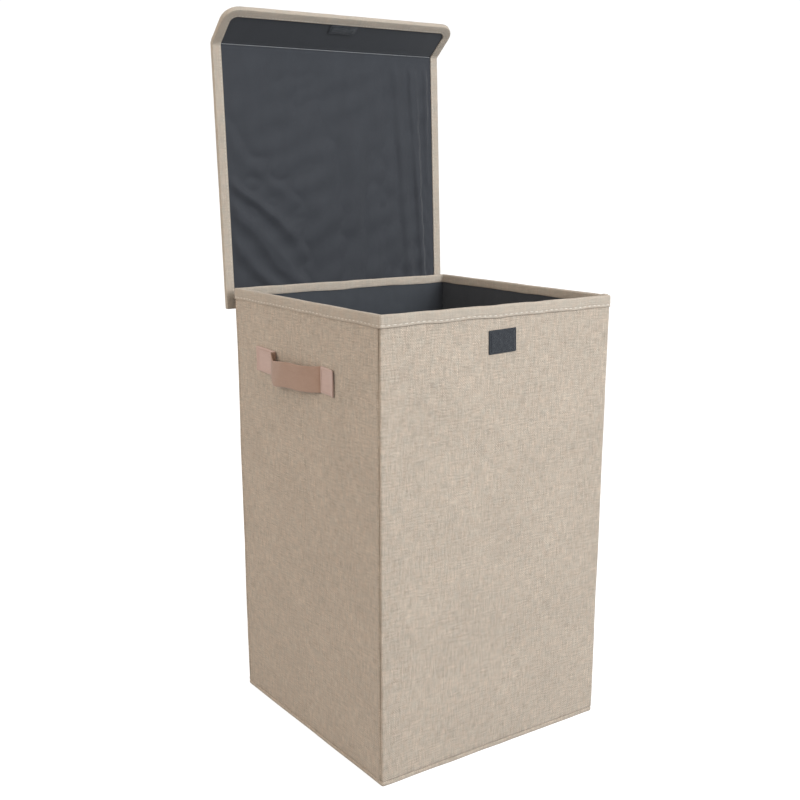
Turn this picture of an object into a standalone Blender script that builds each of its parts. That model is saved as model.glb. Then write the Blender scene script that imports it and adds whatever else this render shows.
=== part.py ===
"""A collapsible laundry hamper with a hinged lid, in metres, +Z up, front towards -Y.

The origin is at the middle of the underside. Every panel is a stiff board between an outer
fabric cover and a lining. The front and back panels span the full width and each side panel
is two halves that meet at a crease, so that the walls fold inwards. The base board tilts up
against the back panel first. The lid is built closed and flat, and is then opened.
"""

import math

import bmesh
import bpy
from mathutils import Matrix

# Overall size, over the covers
WIDTH = 0.365
DEPTH = 0.365
HEIGHT = 0.600

# What every panel is made of
COVER = 0.0008
BOARD = 0.0025
LINING = 0.0005
GAP = 0.0003
PANEL = COVER + GAP + BOARD + GAP + LINING

# The tape folded over the rim and round the lid
BINDING = 0.0010
PROUD = GAP + BINDING
RIM_DROP = 0.0150
BINDING_BEVEL = 0.0015

# The bottom: a soft sheet with a stitched welt that the walls stand on, and the base board
SHEET = 0.0008
WELT_HEIGHT = 0.0046
BASE_CLEARANCE = 0.0010
WALL_FOOT = SHEET + GAP + WELT_HEIGHT + GAP

# The lid, its front flap, and where the lid's lower rear corner lies, seen from the
# top rear edge of the back panel's cover, when the lid is closed and when it is open
LID_OVERHANG = 0.0055
LID_REACH = 0.0028
LID_BINDING_WIDTH = 0.0125
LID_CLOSED_BACK = -0.0125
LID_CLOSED_UP = 0.0055
LID_OPEN_BACK = 0.0135
LID_OPEN_UP = -0.0310
LID_OPEN_ANGLE = math.radians(92.4)
FLAP_LENGTH = 0.060
FLAP_CORNER = 0.022
FLAP_CORNER_STEPS = 8
FLAP_BEND = math.radians(52)
FOLD_GAP = 0.0010
HINGE_TAPE = 0.0008
HINGE_TAPE_SEWN = 0.012
HINGE_TAPE_INSET = 0.0125

# The hook-and-loop closure
PATCH_WIDTH = 0.044
PATCH_HEIGHT = 0.030
PATCH_THICKNESS = 0.0009
PATCH_BELOW_RIM = 0.031
HOOK_HEIGHT = 0.016

# The handles: a strap across each side's crease
STRAP_WIDTH = 0.034
STRAP_THICKNESS = 0.0018
STRAP_BELOW_RIM = 0.0755
STRAP_BOW = 0.012
STRAP_REAR_END = 0.050
STRAP_FRONT_END = 0.030
HANDLE_REAR = 0.117
HANDLE_FRONT = -0.080
STRAP_STEPS = 24

# Faces of the walls, from the middle
OUT_X = WIDTH / 2
OUT_Y = DEPTH / 2
IN_X = OUT_X - PANEL
IN_Y = OUT_Y - PANEL
BOARD_TOP = HEIGHT - BINDING - GAP

# The base board's layers, from the sheet up
BASE_LOW = SHEET + GAP
BASE_TOP = BASE_LOW + PANEL
BASE_BACK = IN_Y - GAP
BASE_FRONT = -IN_Y + BASE_CLEARANCE
BASE_SIDE = IN_X - BASE_CLEARANCE

# The closed lid reaches past the front panel and over both sides
LID_WIDTH = WIDTH + 2 * LID_OVERHANG
LID_LENGTH = DEPTH + LID_REACH + LID_CLOSED_BACK

# The corner pivots stand off the back and front panels by the raised base board
PIVOT_X = IN_X - PROUD
PIVOT_Y = IN_Y - PANEL - 3 * GAP
CREASE_X = OUT_X + PROUD

FABRIC = (0.62, 0.52, 0.42)
TAPE = (0.66, 0.56, 0.46)
DARK = (0.045, 0.048, 0.055)
TAN = (0.60, 0.40, 0.31)
GREYBOARD = (0.35, 0.31, 0.26)
CLOTH_ROUGHNESS = 0.9
SHARP_ABOVE = math.radians(30)


def clear_scene():
    for old in list(bpy.data.objects):
        bpy.data.objects.remove(old, do_unlink=True)


def material(name, colour):
    made = bpy.data.materials.new(name)
    made.use_nodes = True
    shader = made.node_tree.nodes["Principled BSDF"]
    shader.inputs["Base Color"].default_value = (*colour, 1)
    shader.inputs["Roughness"].default_value = CLOTH_ROUGHNESS
    shader.inputs["Metallic"].default_value = 0
    made.diffuse_color = (*colour, 1)
    return made


def add(name, mesh_maker, colour):
    """A new object with a material of its own and the mesh that mesh_maker fills in."""
    mesh = bpy.data.meshes.new(name)
    shape = bmesh.new()
    mesh_maker(shape)
    bmesh.ops.recalc_face_normals(shape, faces=shape.faces)
    shape.to_mesh(mesh)
    shape.free()
    mesh.shade_smooth()
    mesh.set_sharp_from_angle(angle=SHARP_ABOVE)
    made = bpy.data.objects.new(name, mesh)
    bpy.context.scene.collection.objects.link(made)
    mesh.materials.append(material(name, colour))
    return made


def prism(name, outline, along, start, end, colour):
    """An outline extruded along X, Y or Z. Its points are the other two coordinates, in order."""
    place = {
        "X": lambda a, b: (start, a, b),
        "Y": lambda a, b: (a, start, b),
        "Z": lambda a, b: (a, b, start),
    }[along]
    step = {"X": (end - start, 0, 0), "Y": (0, end - start, 0), "Z": (0, 0, end - start)}[along]

    def fill(shape):
        face = shape.faces.new([shape.verts.new(place(a, b)) for a, b in outline])
        grown = bmesh.ops.extrude_face_region(shape, geom=[face])
        points = [g for g in grown["geom"] if isinstance(g, bmesh.types.BMVert)]
        bmesh.ops.translate(shape, vec=step, verts=points)

    return add(name, fill, colour)


def rectangle(low_a, high_a, low_b, high_b):
    return [(low_a, low_b), (high_a, low_b), (high_a, high_b), (low_a, high_b)]


def slab(name, low, high, colour):
    return prism(name, rectangle(low[0], high[0], low[1], high[1]), "Z", low[2], high[2], colour)


def cut(target, cutter):
    """Takes the cutter's shape out of the target and keeps the cutter as a hidden helper on it."""
    cutter.parent = target
    change = target.modifiers.new("cut_" + cutter.name, "BOOLEAN")
    change.operation = "DIFFERENCE"
    change.solver = "EXACT"
    change.object = cutter
    cutter.hide_render = True
    cutter.display_type = "WIRE"


def pivot(name, place, parent=None):
    """An empty on a joint's axis. What hangs from it keeps its place until the empty turns."""
    made = bpy.data.objects.new(name, None)
    bpy.context.scene.collection.objects.link(made)
    made.location = place
    made["rest_place"] = place
    if parent:
        hang(parent, [made])
    return made


def hang(on, pieces):
    for piece in pieces:
        piece.parent = on
        piece.matrix_parent_inverse = Matrix.Translation(on["rest_place"]).inverted()


def wrapped_cover(sign):
    """Plan of a cover on a full-width panel, wrapped round the panel's two side edges."""
    return [
        (-OUT_X, sign * IN_Y),
        (-OUT_X, sign * OUT_Y),
        (OUT_X, sign * OUT_Y),
        (OUT_X, sign * IN_Y),
        (OUT_X - COVER, sign * IN_Y),
        (OUT_X - COVER, sign * (OUT_Y - COVER)),
        (-OUT_X + COVER, sign * (OUT_Y - COVER)),
        (-OUT_X + COVER, sign * IN_Y),
    ]


def rim_profile(out, sign):
    """Section of the tape folded over a panel's top edge: (across, up) points."""
    inner = out - PANEL
    outer_face = out + PROUD
    inner_face = inner - PROUD
    foot = HEIGHT - RIM_DROP
    edge = BINDING_BEVEL
    section = [
        (outer_face, foot),
        (outer_face, HEIGHT - edge),
        (outer_face - edge, HEIGHT),
        (inner_face + edge, HEIGHT),
        (inner_face, HEIGHT - edge),
        (inner_face, foot),
        (inner_face + BINDING, foot),
        (inner_face + BINDING, HEIGHT - BINDING),
        (outer_face - BINDING, HEIGHT - BINDING),
        (outer_face - BINDING, foot),
    ]
    return [(sign * across, up) for across, up in section]


def full_panel(side, sign):
    """The front or back panel: cover, board, lining and rim tape over the full width."""
    edge = OUT_X - COVER - GAP
    board = sorted((sign * (OUT_Y - COVER - GAP), sign * (OUT_Y - COVER - GAP - BOARD)))
    lining = sorted((sign * IN_Y, sign * (IN_Y + LINING)))
    return [
        prism(side + "_cover", wrapped_cover(sign), "Z", WALL_FOOT, BOARD_TOP, FABRIC),
        slab(
            side + "_board",
            (-edge, board[0], WALL_FOOT),
            (edge, board[1], BOARD_TOP),
            GREYBOARD,
        ),
        slab(
            side + "_lining",
            (-edge, lining[0], WALL_FOOT),
            (edge, lining[1], BOARD_TOP),
            DARK,
        ),
        prism(
            side + "_rim_binding",
            rim_profile(OUT_Y, sign),
            "X",
            -OUT_X - PROUD,
            OUT_X + PROUD,
            TAPE,
        ),
    ]


def side_half(side, sign, place, toward):
    """Half of a side panel, from the crease at mid depth to the front or back panel."""
    name = side + "_" + place
    y_low, y_high = sorted((toward * GAP / 2, toward * (IN_Y - PROUD - GAP)))
    layers = [
        ("cover", OUT_X - COVER, OUT_X, FABRIC),
        ("board", OUT_X - COVER - GAP - BOARD, OUT_X - COVER - GAP, GREYBOARD),
        ("lining", IN_X, IN_X + LINING, DARK),
    ]
    made = []
    for layer, near, far, colour in layers:
        x_low, x_high = sorted((sign * near, sign * far))
        low = (x_low, y_low, WALL_FOOT)
        high = (x_high, y_high, BOARD_TOP)
        made.append(slab(name + "_" + layer, low, high, colour))
    tape = prism(name + "_rim_binding", rim_profile(OUT_X, sign), "Y", y_low, y_high, TAPE)
    return [*made, tape]


def strap_path():
    """(outward, along) points down the middle of a strap between its two sewn ends."""
    start, end = HANDLE_REAR - STRAP_REAR_END, HANDLE_FRONT + STRAP_FRONT_END
    flat = OUT_X + GAP + STRAP_THICKNESS / 2
    points = []
    for step in range(STRAP_STEPS + 1):
        share = step / STRAP_STEPS
        lift = STRAP_BOW * math.sin(math.pi * share) ** 1.2
        points.append((flat + lift, start + (end - start) * share))
    return points


def strap_outline(sign):
    """Plan of the bowed strap: its path made as thick as the webbing."""
    path = strap_path()
    outer, inner = [], []
    for index, (out, along) in enumerate(path):
        before = path[max(index - 1, 0)]
        after = path[min(index + 1, len(path) - 1)]
        run_out, run_along = after[0] - before[0], after[1] - before[1]
        size = math.hypot(run_out, run_along)
        if index in (0, len(path) - 1):
            run_out, run_along, size = 0, -1, 1
        half = STRAP_THICKNESS / 2
        across = (-run_along / size * half, run_out / size * half)
        outer.append((sign * (out + across[0]), along + across[1]))
        inner.append((sign * (out - across[0]), along - across[1]))
    return outer + inner[::-1]


def handle(side, sign):
    """The strap over the crease, and its two ends sewn flat to the cover."""
    top = HEIGHT - STRAP_BELOW_RIM
    bottom = top - STRAP_WIDTH
    near = OUT_X + GAP
    x_low, x_high = sorted((sign * near, sign * (near + STRAP_THICKNESS)))
    ends = {
        "rear": (HANDLE_REAR - STRAP_REAR_END + GAP, HANDLE_REAR),
        "front": (HANDLE_FRONT, HANDLE_FRONT + STRAP_FRONT_END - GAP),
    }
    made = {
        place: slab(
            f"{side}_handle_{place}_end",
            (x_low, low, bottom),
            (x_high, high, top),
            TAN,
        )
        for place, (low, high) in ends.items()
    }
    made["strap"] = prism(side + "_handle_strap", strap_outline(sign), "Z", bottom, top, TAN)
    return made


def bottom():
    """The soft bottom sheet and the stitched welt round its edge."""
    sheet = slab("bottom_fabric", (-OUT_X, -OUT_Y, 0), (OUT_X, OUT_Y, SHEET), FABRIC)
    low, high = SHEET + GAP, SHEET + GAP + WELT_HEIGHT
    welt = slab("bottom_welt", (-OUT_X, -OUT_Y, low), (OUT_X, OUT_Y, high), TAPE)
    inside = slab(
        "cut_welt",
        (-IN_X, -IN_Y, low - WELT_HEIGHT),
        (IN_X, IN_Y, high + WELT_HEIGHT),
        TAPE,
    )
    cut(welt, inside)
    return [sheet, welt]


def base():
    """The base board and its two fabric faces, lying inside the welt."""
    layers = [
        ("base_underside", BASE_LOW, COVER, FABRIC),
        ("base_board", BASE_LOW + COVER + GAP, BOARD, GREYBOARD),
        ("base_lining", BASE_TOP - LINING, LINING, DARK),
    ]
    return [
        slab(
            name,
            (-BASE_SIDE, BASE_FRONT, low),
            (BASE_SIDE, BASE_BACK, low + thickness),
            colour,
        )
        for name, low, thickness, colour in layers
    ]


def rounded_front(rear, front, half, corner):
    """Plan of a panel with its front edge towards -Y and that edge's corners rounded."""
    if corner == 0:
        return rectangle(-half, half, front, rear)
    turns = [math.pi / 2 * step / FLAP_CORNER_STEPS for step in range(FLAP_CORNER_STEPS + 1)]
    right = [
        (half - corner * (1 - math.cos(turn)), front + corner * (1 - math.sin(turn)))
        for turn in turns
    ]
    left = [(-across, along) for across, along in right]
    return [(-half, rear), *left, *right[::-1], (half, rear)]


def panel_layers(name, plan, low):
    """The lining, board and cover of a lid panel, one above the other."""
    layers = [
        ("lining", low, LINING, DARK),
        ("board", low + LINING + GAP, BOARD, GREYBOARD),
        ("cover", low + LINING + 2 * GAP + BOARD, COVER, FABRIC),
    ]
    return [
        prism(f"{name}_{layer}", plan, "Z", base_z, base_z + thickness, colour)
        for layer, base_z, thickness, colour in layers
    ]


def bound_panel(name, low, rear, front, corner, open_front):
    """A lid panel: cover, board and lining in a tape frame that is open along the fold.

    low is the height of the frame's underside, and open_front says which edge is the fold.
    """

    def drawn_in(by, past_fold):
        """The panel's plan made smaller by that much, or longer where it meets the fold."""
        plan_rear = rear - by if open_front else rear + past_fold
        plan_front = front - past_fold if open_front else front + by
        return rounded_front(plan_rear, plan_front, LID_WIDTH / 2 - by, max(corner - by, 0))

    high = low + PANEL + 2 * PROUD
    past = LID_BINDING_WIDTH
    frame = prism(name + "_binding", drawn_in(0, 0), "Z", low, high, TAPE)
    pocket = drawn_in(BINDING, past)
    window = drawn_in(past, past)
    cut(frame, prism(f"cut_{name}_pocket", pocket, "Z", low + BINDING, high - BINDING, TAPE))
    cut(frame, prism(f"cut_{name}_window", window, "Z", low - past, high + past, TAPE))
    return [*panel_layers(name, drawn_in(PROUD, 0), low + PROUD), frame]


def pole(closed, opened, angle):
    """The axis that carries the closed point to the open one in a turn of that angle.

    Points are (back, up). The turn lifts the front, so it goes from -Y up towards +Z.
    """
    middle = ((closed[0] + opened[0]) / 2, (closed[1] + opened[1]) / 2)
    run = (opened[0] - closed[0], opened[1] - closed[1])
    off = 1 / (2 * math.tan(angle / 2))
    return (middle[0] + run[1] * off, middle[1] - run[0] * off)


def lid_axis():
    """(y, z) of the lid's hinge axis."""
    back, up = pole(
        (LID_CLOSED_BACK, LID_CLOSED_UP), (LID_OPEN_BACK, LID_OPEN_UP), LID_OPEN_ANGLE
    )
    return OUT_Y + back, HEIGHT + up


def lid_and_flap():
    """The lid and its flap, built closed and flat, then opened and bent."""
    low = HEIGHT + LID_CLOSED_UP
    rear = OUT_Y + LID_CLOSED_BACK
    fold = rear - LID_LENGTH
    axis_y, axis_z = lid_axis()
    lid_pivot = pivot("lid_pivot", (0, axis_y, axis_z))
    flap_pivot = pivot("flap_pivot", (0, fold, low), lid_pivot)
    lid = bound_panel("lid", low, rear, fold + FOLD_GAP / 2, 0, True)
    flap = bound_panel("flap", low, fold - FOLD_GAP / 2, fold - FLAP_LENGTH, FLAP_CORNER, False)
    on_lining = low + PROUD - GAP
    hook_front = fold - FLAP_LENGTH + LID_BINDING_WIDTH + GAP
    hooks = slab(
        "flap_hook_patch",
        (-PATCH_WIDTH / 2, hook_front, on_lining - PATCH_THICKNESS),
        (PATCH_WIDTH / 2, hook_front + HOOK_HEIGHT, on_lining),
        DARK,
    )
    hang(lid_pivot, lid)
    hang(flap_pivot, [*flap, hooks])
    lid_pivot.rotation_euler.x = -LID_OPEN_ANGLE
    flap_pivot.rotation_euler.x = FLAP_BEND


def hinge_tape():
    """The soft tape from the back panel down, round and up to the open lid's rear edge."""
    inside = OUT_Y + GAP
    top = HEIGHT - RIM_DROP - GAP
    lid_edge = HEIGHT + LID_OPEN_UP - GAP
    turn = lid_edge - HINGE_TAPE_SEWN / 2
    outside = OUT_Y + LID_OPEN_BACK + PANEL
    outline = [
        (inside, top),
        (inside, turn),
        (outside, turn),
        (outside, lid_edge - HINGE_TAPE),
        (outside - HINGE_TAPE, lid_edge - HINGE_TAPE),
        (outside - HINGE_TAPE, turn + HINGE_TAPE),
        (inside + HINGE_TAPE, turn + HINGE_TAPE),
        (inside + HINGE_TAPE, top),
    ]
    half = OUT_X - HINGE_TAPE_INSET
    return prism("lid_hinge_tape", outline, "X", -half, half, FABRIC)


def walls():
    """The four walls on their fold pivots, with the handles and the loop patch."""
    full_panel("back", 1)
    for side, sign in (("left", -1), ("right", 1)):
        rear = side_half(side, sign, "rear", 1)
        front = side_half(side, sign, "front", -1)
        grip = handle(side, sign)
        corner = pivot(side + "_corner_pivot", (sign * PIVOT_X, PIVOT_Y, 0))
        crease = pivot(side + "_crease_pivot", (sign * CREASE_X, 0, 0), corner)
        hang(corner, [*rear, grip["rear"], grip["strap"]])
        hang(crease, [*front, grip["front"]])
        if side == "left":
            front_pivot = pivot("front_pivot", (sign * PIVOT_X, -PIVOT_Y, 0), crease)
    face = -OUT_Y - GAP
    top = HEIGHT - PATCH_BELOW_RIM
    loops = slab(
        "front_loop_patch",
        (-PATCH_WIDTH / 2, face - PATCH_THICKNESS, top - PATCH_HEIGHT),
        (PATCH_WIDTH / 2, face, top),
        DARK,
    )
    hang(front_pivot, [*full_panel("front", -1), loops])


def main():
    clear_scene()
    bottom()
    base_pivot = pivot("base_pivot", (0, BASE_BACK, BASE_TOP))
    hang(base_pivot, base())
    walls()
    lid_and_flap()
    hinge_tape()


main()
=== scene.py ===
"""A laundry hamper with a hinged lid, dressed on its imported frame. Metres, Z up, front to -Y."""

import math

import bpy
import numpy as np
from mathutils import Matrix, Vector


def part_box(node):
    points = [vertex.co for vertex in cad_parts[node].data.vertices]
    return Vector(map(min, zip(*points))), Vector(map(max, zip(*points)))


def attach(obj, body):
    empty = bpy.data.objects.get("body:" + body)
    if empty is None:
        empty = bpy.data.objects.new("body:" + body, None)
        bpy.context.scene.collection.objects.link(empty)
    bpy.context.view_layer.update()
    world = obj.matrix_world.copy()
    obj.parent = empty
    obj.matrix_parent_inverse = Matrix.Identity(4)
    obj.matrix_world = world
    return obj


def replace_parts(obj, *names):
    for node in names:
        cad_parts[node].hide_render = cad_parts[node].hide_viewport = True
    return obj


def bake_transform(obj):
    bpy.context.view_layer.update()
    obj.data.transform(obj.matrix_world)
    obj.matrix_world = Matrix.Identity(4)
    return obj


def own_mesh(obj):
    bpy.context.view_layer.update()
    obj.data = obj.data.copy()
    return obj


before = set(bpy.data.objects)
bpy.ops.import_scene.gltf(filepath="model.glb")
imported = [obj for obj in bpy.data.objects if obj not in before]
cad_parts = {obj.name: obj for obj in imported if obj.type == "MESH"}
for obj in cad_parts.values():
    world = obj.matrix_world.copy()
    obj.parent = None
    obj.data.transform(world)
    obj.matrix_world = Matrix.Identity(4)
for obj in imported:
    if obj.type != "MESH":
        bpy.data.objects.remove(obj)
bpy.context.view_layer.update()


# --- Sizes ---


def low(node):
    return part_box(node)[0]


def high(node):
    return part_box(node)[1]


OUT = high("front_cover").x
RIM = high("front_rim_binding").z
RIM_LOW = low("front_rim_binding").z
PROUD = high("front_rim_binding").x - OUT
PANEL = high("front_cover").y - low("front_cover").y
FOOT = low("front_cover").z
SEAM = high("left_rear_cover").y
SPLIT = 0.09  # where the side cloth is divided, each way from its crease
ON_SIDE = OUT - 0.002  # a wall point with x beyond this is on a side
CORNER_REACH = 0.0165  # how far each way from a corner its cloth bends
CREASE_REACH = 0.007
BASE_REACH = 0.360  # how high the tilted base board presses on the back panel

LINING = 0.0005
CLOTH = 0.0008
TAPE = 0.0009
ROUTE_REACH = 0.0105  # how far from a corner of the walls the points get closer together

LID_HALF = high("lid_binding").x
LID_LEAN = math.radians(2.4)
LID_LENGTH = 0.3553
LID_THICK = PANEL + 2 * PROUD
LID_EDGE = (OUT + 0.0135, RIM - 0.0310)
LID_TAPE = 0.0125
FLAP_LENGTH = 0.060
FLAP_END = LID_LENGTH + FLAP_LENGTH
FLAP_CORNER = 0.022
FLAP_BEND = math.radians(52)
BEND_REACH = 0.0045
FOLD_SPAN = 0.012  # the lid's rows are closer together this near to its fold
TIP_SPAN = 0.024

PATCH_TURN = math.radians(1.8)
PATCH_CORNER = 0.0013
HOOK_PATCH = (0.044, 0.016)
HOOK_CORNER = 0.0020

STRAP_TOP = high("left_handle_strap").z
STRAP_LOW = low("left_handle_strap").z
STRAP_REAR = high("left_handle_rear_end").y
STRAP_FRONT = low("left_handle_front_end").y
STRAP_START = low("left_handle_rear_end").y
STRAP_FINISH = high("left_handle_front_end").y
STRAP_BOW = 0.0105
STRAP_SAG = 0.0105
STRAP_SLOPE = 0.026
STRAP_THICK = 0.0018
STRAP_MIDDLE = (STRAP_TOP + STRAP_LOW) / 2
STRAP_WIDTH = STRAP_TOP - STRAP_LOW
STRAP_FACE = OUT + 0.0003  # the strap's back, a hair off the wall

# Each kind of stitch: the pitch of its row, and the length and thickness of its threads.
RIM_STITCH = (0.0082, 0.0056, 0.0010)
FOLD_STITCH = (0.0036, 0.0034, 0.0009)
TAPE_STITCH = (0.0050, 0.0034, 0.0006)
PATCH_STITCH = (0.0024, 0.0019, 0.0005)
HOOK_STITCH = (0.0024, 0.0018, 0.0005)
STRAP_STITCH = (0.0034, 0.0025, 0.0006)

CAMERA_PLACE = (-0.8915, -1.2408, 0.7631)
CAMERA_PITCH = math.radians(75.58)
CAMERA_HEADING = math.radians(-34.93)
CAMERA_LENS = 50.42
CAMERA_SHIFT = (-0.0025, 0.069)

WHITE_SEEN = 1.05  # the world's strength for the camera
WORLD_LIGHT = 0.76  # and for everything else
WORLD_COLOUR = (1.0, 0.985, 0.965, 1)
FLOOR_SIZE = 40.0
FLOOR_GREY = (0.36, 0.36, 0.36)
FLOOR_GLOW = 0.90
LAMP_SIZE = 1.6


# --- Shape tools ---


def ripples(points, size, seed, count=12):
    """A smooth random height of about -1 to 1 at each point, whose waves are about size long."""
    rng = np.random.default_rng(seed)
    aim = rng.normal(size=(count, 3))
    aim /= np.linalg.norm(aim, axis=1)[:, None]
    pace = 2 * math.pi / (size * rng.uniform(0.7, 1.7, count))
    phase = rng.uniform(0, 2 * math.pi, count)
    waves = np.sin(points @ (aim * pace[:, None]).T + phase)
    return np.clip(waves.sum(axis=-1) / math.sqrt(count), -1.4, 1.4)


def near(value, centre, width):
    """1 at the centre, fading to 0 over about the width."""
    return np.exp(-(((value - centre) / width) ** 2))


def smooth(value, start, end):
    """0 before start, 1 after end, and an S curve between them."""
    share = np.clip((value - start) / (end - start), 0, 1)
    return share * share * (3 - 2 * share)


def run_of(points):
    """The distance along a line of points at each of them."""
    steps = np.linalg.norm(np.diff(points, axis=0), axis=1)
    return np.concatenate([[0], np.cumsum(steps)])


def level(x, y):
    """The points (x, y, 0)."""
    return np.stack([x, y, np.zeros_like(x)], axis=-1)


class Route:
    """A way along straight legs and rounded right-angle corners, which can be offset sideways.

    side is 1 when the outside is on the left of the way, and -1 when it is on the right. The
    points are step apart, and closer together within reach of a corner.
    """

    ARC = 7

    def __init__(self, corners, radii, side, step, reach):
        self.corners = np.array(corners, float)
        self.radii = radii
        self.side = side
        self.step = step
        self.reach = reach
        self.along = run_of(self.at(0)[0])

    def legs(self):
        for index in range(len(self.corners) - 1):
            start, end = self.corners[index], self.corners[index + 1]
            length = np.linalg.norm(end - start)
            way = (end - start) / length
            yield start, way, self.side * np.array([-way[1], way[0]]), length

    def radius(self, index, offset):
        return max(self.radii[index - 1] + offset, 0.0004)

    def marks(self, index, offset, length):
        """Distances along a leg."""
        last = len(self.corners) - 2
        starts = index == 0
        ends = index == last
        cut_a = 0 if starts else self.radius(index, offset) - offset
        cut_b = 0 if ends else self.radius(index + 1, offset) - offset
        reach_a = 0 if starts else max(self.reach, self.radii[index - 1])
        reach_b = 0 if ends else max(self.reach, self.radii[index])
        count = max(int(round((length - reach_a - reach_b) / self.step)), 1)
        before = [] if starts else np.linspace(cut_a, reach_a, 4)[1:-1]
        middle = np.linspace(reach_a, length - reach_b, count + 1)
        after = [] if ends else np.linspace(length - reach_b, length - cut_b, 4)[1:-1]
        return np.concatenate([before, middle, after])

    def at(self, offset):
        """The points of the way moved outwards by offset, and the outward direction at each."""
        points, aims = [], []
        legs = list(self.legs())
        for index, (start, way, out, length) in enumerate(legs):
            for mark in self.marks(index, offset, length):
                points.append(start + way * mark + out * offset)
                aims.append(out)
            if index == len(legs) - 1:
                continue
            radius, following = self.radius(index + 1, offset), legs[index + 1][2]
            middle = start + way * length + (out + following) * (offset - radius)
            for turn in np.linspace(0, math.pi / 2, self.ARC):
                aim = out * math.cos(turn) + following * math.sin(turn)
                points.append(middle + aim * radius)
                aims.append(aim)
        return np.array(points), np.array(aims)


def normals_of(grid, towards, at=(0, 0)):
    """Unit normals of a grid of points, on the side that towards points to where at says."""
    down = np.gradient(grid, axis=0)
    across = np.gradient(grid, axis=1)
    found = np.cross(across, down)
    found /= np.maximum(np.linalg.norm(found, axis=2), 1e-12)[..., None]
    return found if (found[at] * towards).sum() > 0 else -found


def new_object(name, points, faces, material, uv=None):
    mesh = bpy.data.meshes.new(name)
    mesh.from_pydata(points.reshape(-1, 3).tolist(), [], faces)
    if uv is not None:
        layer = mesh.uv_layers.new(name="UVMap")
        corner = np.zeros(len(mesh.loops), np.int32)
        mesh.loops.foreach_get("vertex_index", corner)
        layer.data.foreach_set("uv", uv.reshape(-1, 2)[corner].astype(np.float32).ravel())
    mesh.shade_smooth()
    mesh.set_sharp_from_angle(angle=math.radians(50))
    mesh.materials.append(material)
    made = bpy.data.objects.new(name, mesh)
    bpy.context.scene.collection.objects.link(made)
    return made


def cloth(name, grid, towards, thick, material, uv, at=(0, 0)):
    """A closed thin sheet whose outer face is the grid of points, and which is thick inwards."""
    rows, columns = grid.shape[:2]
    outward = normals_of(grid, np.array(towards, float), at)
    both = np.concatenate([grid.reshape(-1, 3), (grid - outward * thick).reshape(-1, 3)])
    index = np.arange(rows * columns).reshape(rows, columns)
    a, b, c, d = index[:-1, :-1], index[:-1, 1:], index[1:, 1:], index[1:, :-1]
    quads = np.stack([a, b, c, d], axis=-1).reshape(-1, 4)
    loop = np.concatenate([index[0, :-1], index[:-1, -1], index[-1, :0:-1], index[:0:-1, 0]])
    turn = np.cross(grid[0, 1] - grid[0, 0], grid[1, 1] - grid[0, 1])
    if (turn * outward[0, 0]).sum() < 0:
        quads, loop = quads[:, ::-1], loop[::-1]
    step = rows * columns
    after = np.roll(loop, -1)
    rim = np.stack([after, loop, loop + step, after + step], axis=-1)
    faces = np.concatenate([quads, quads[:, ::-1] + step, rim])
    return new_object(name, both, faces.tolist(), material, np.concatenate([uv, uv]))


def stitches(name, points, normals, material, size):
    """A row of short raised threads along the points, which lie on cloth with those normals."""
    pitch, length, thick = size
    along = run_of(points)
    count = max(int(along[-1] / pitch), 1)
    spots = (np.arange(count) + 0.5) * (along[-1] / count)

    def pick(values, where):
        return np.stack([np.interp(where, along, values[:, k]) for k in range(3)], axis=1)

    centre = pick(points, spots)
    ahead = pick(points, spots + length / 2) - pick(points, spots - length / 2)
    ahead /= np.maximum(np.linalg.norm(ahead, axis=1), 1e-9)[:, None]
    up = pick(normals, spots)
    up -= ahead * (up * ahead).sum(axis=1)[:, None]
    up /= np.linalg.norm(up, axis=1)[:, None]
    side = np.cross(ahead, up)
    ring_count, side_count = 5, 6
    rings = np.linspace(-1, 1, ring_count)
    sides = np.arange(side_count) * math.pi / 3
    girth = thick / 2 * np.sqrt(np.maximum(1 - 0.8 * rings**2, 0.05))
    lift = thick * (0.28 - 0.75 * rings**2)
    x = np.repeat(rings * length / 2, side_count)
    y = (girth[:, None] * np.cos(sides)).ravel()
    z = (lift[:, None] + girth[:, None] * np.sin(sides)).ravel()
    verts = (
        centre[:, None]
        + ahead[:, None] * x[None, :, None]
        + side[:, None] * y[None, :, None]
        + up[:, None] * z[None, :, None]
    )
    first = np.arange((ring_count - 1) * side_count)
    second = np.where(first % side_count == side_count - 1, first - side_count + 1, first + 1)
    quads = np.stack([first, second, second + side_count, first + side_count], axis=-1)
    starts = np.arange(count) * ring_count * side_count
    faces = (quads + starts[:, None, None]).reshape(-1, 4).tolist()
    near_end, far_end = np.arange(side_count)[::-1], len(first) + np.arange(side_count)
    for start in starts:
        faces += [(near_end + start).tolist(), (far_end + start).tolist()]
    return new_object(name, verts, faces, material)


# --- Materials ---


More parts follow.
